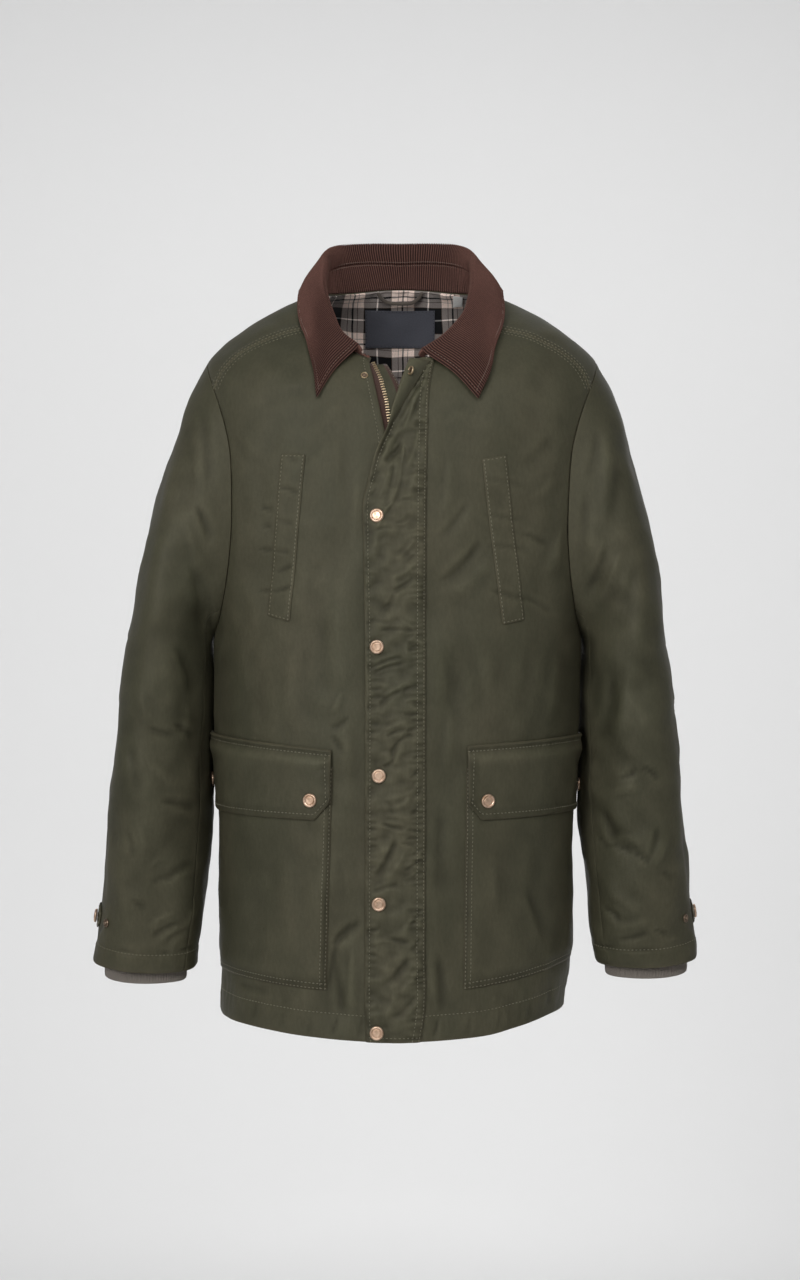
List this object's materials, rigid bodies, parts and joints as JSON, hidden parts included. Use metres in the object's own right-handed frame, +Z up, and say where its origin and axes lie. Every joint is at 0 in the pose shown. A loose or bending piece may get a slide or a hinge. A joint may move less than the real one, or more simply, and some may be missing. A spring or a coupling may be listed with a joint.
{
  "type": "waxed cotton jacket",
  "caption": "Hip-length waxed cotton jacket with corduroy collar, zip under a snapped storm flap, flapped patch pockets and knit inner cuffs, in its worn shape.",
  "frame": {"origin": "middle of the wearer's shoulders at the base of the neck, inside the open collar", "axes": "+Z up along the wearer's spine, front of the jacket towards -Y, the wearer's left side towards +X"},
  "size_m": [0.656, 0.2996, 0.8698],
  "materials": {
    "waxed_cotton": "dark olive waxed cotton, soft sheen",
    "corduroy": "dark brown fine corduroy",
    "flannel": "brushed check flannel, cream, navy, grey and tan",
    "zip_tape": "brown woven tape",
    "zip_metal": "aged brass",
    "snap_copper": "copper-coloured plating, satin",
    "knit": "grey-brown rib knit",
    "label": "dark slate woven label, blank",
    "size_tag": "white woven tag, blank"
  },
  "bodies": {
    "root": {"back_panel": "waxed_cotton", "chest_welt_l": "waxed_cotton", "chest_welt_r": "waxed_cotton", "collar_fall": "corduroy", "collar_stand": "corduroy", "cuff_snap_l": "snap_copper", "cuff_snap_r": "snap_copper", "cuff_stud_l": "snap_copper", "cuff_stud_r": "snap_copper", "cuff_tab_l": "waxed_cotton", "cuff_tab_r": "waxed_cotton", "flap_snap_1": "snap_copper", "flap_snap_2": "snap_copper", "flap_snap_3": "snap_copper", "flap_snap_4": "snap_copper", "flap_snap_5": "snap_copper", "front_l": "waxed_cotton", "front_r": "waxed_cotton", "hanger_loop": "zip_tape", "knit_cuff_l": "knit", "knit_cuff_r": "knit", "neck_label": "label", "neck_lining": "flannel", "neck_socket": "snap_copper", "neck_stud": "snap_copper", "pocket_flap_l": "waxed_cotton", "pocket_flap_r": "waxed_cotton", "pocket_l": "waxed_cotton", "pocket_r": "waxed_cotton", "pocket_snap_l_front": "snap_copper", "pocket_snap_l_side": "snap_copper", "pocket_snap_r_front": "snap_copper", "pocket_snap_r_side": "snap_copper", "shoulder_yoke": "waxed_cotton", "size_tag": "size_tag", "sleeve_under_l": "waxed_cotton", "sleeve_under_r": "waxed_cotton", "sleeve_upper_l": "waxed_cotton", "sleeve_upper_r": "waxed_cotton", "storm_flap": "waxed_cotton", "storm_flap_corner": "waxed_cotton", "zip_guard": "waxed_cotton", "zip_slider": "zip_metal", "zip_tape_l": "zip_tape", "zip_tape_r": "zip_tape", "zip_teeth_l": "zip_metal", "zip_teeth_r": "zip_metal"}
  },
  "joints": []
}
